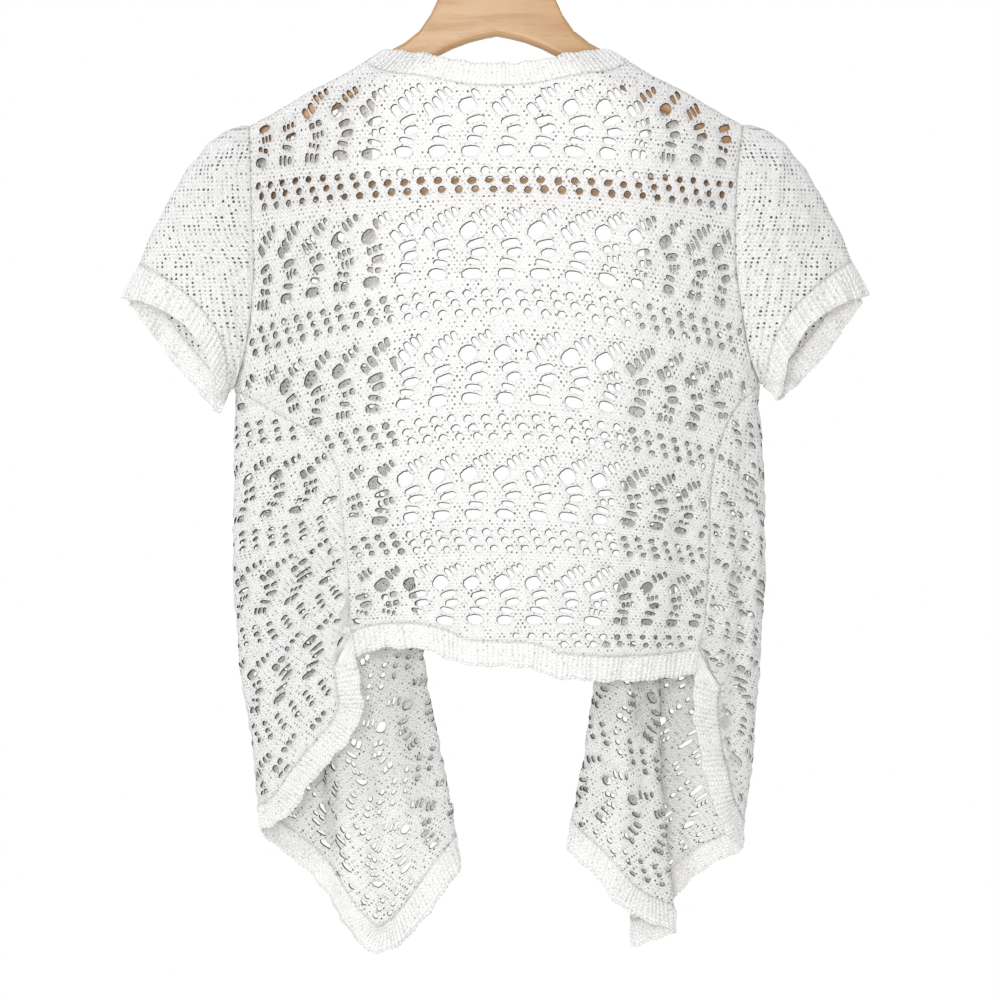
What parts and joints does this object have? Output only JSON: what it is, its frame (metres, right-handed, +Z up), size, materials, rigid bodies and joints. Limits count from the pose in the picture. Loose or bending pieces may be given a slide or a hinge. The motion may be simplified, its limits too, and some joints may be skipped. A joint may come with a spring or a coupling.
{
  "type": "knitted shrug on wooden hanger",
  "caption": "Short-sleeved white lace-knit shrug with an open waterfall front and ribbed edges, hanging on a contoured wooden suit hanger.",
  "frame": {"origin": "inside the crown of the hanger's hook, where a rail carries it", "axes": "+Z up, -Y towards the side of the garment's back, +X to the right of someone who looks at the back"},
  "size_m": [0.6008, 0.1109, 0.8657],
  "materials": {
    "lace_knit": "matte, openwork",
    "plain_knit": "matte",
    "rib_knit": "matte, ribbed",
    "beech": "clear lacquer",
    "steel": "bright plated"
  },
  "bodies": {
    "root": {"back_panel": "lace_knit", "cuff_left": "rib_knit", "cuff_right": "rib_knit", "front_band_left": "rib_knit", "front_band_right": "rib_knit", "front_left": "lace_knit", "front_right": "lace_knit", "hanger_bar": "beech", "hanger_body": "beech", "hanger_hook": "steel", "hem_band_back": "rib_knit", "hem_band_left": "rib_knit", "hem_band_right": "rib_knit", "neckband": "rib_knit", "sleeve_left": "plain_knit", "sleeve_right": "plain_knit"}
  },
  "joints": []
}
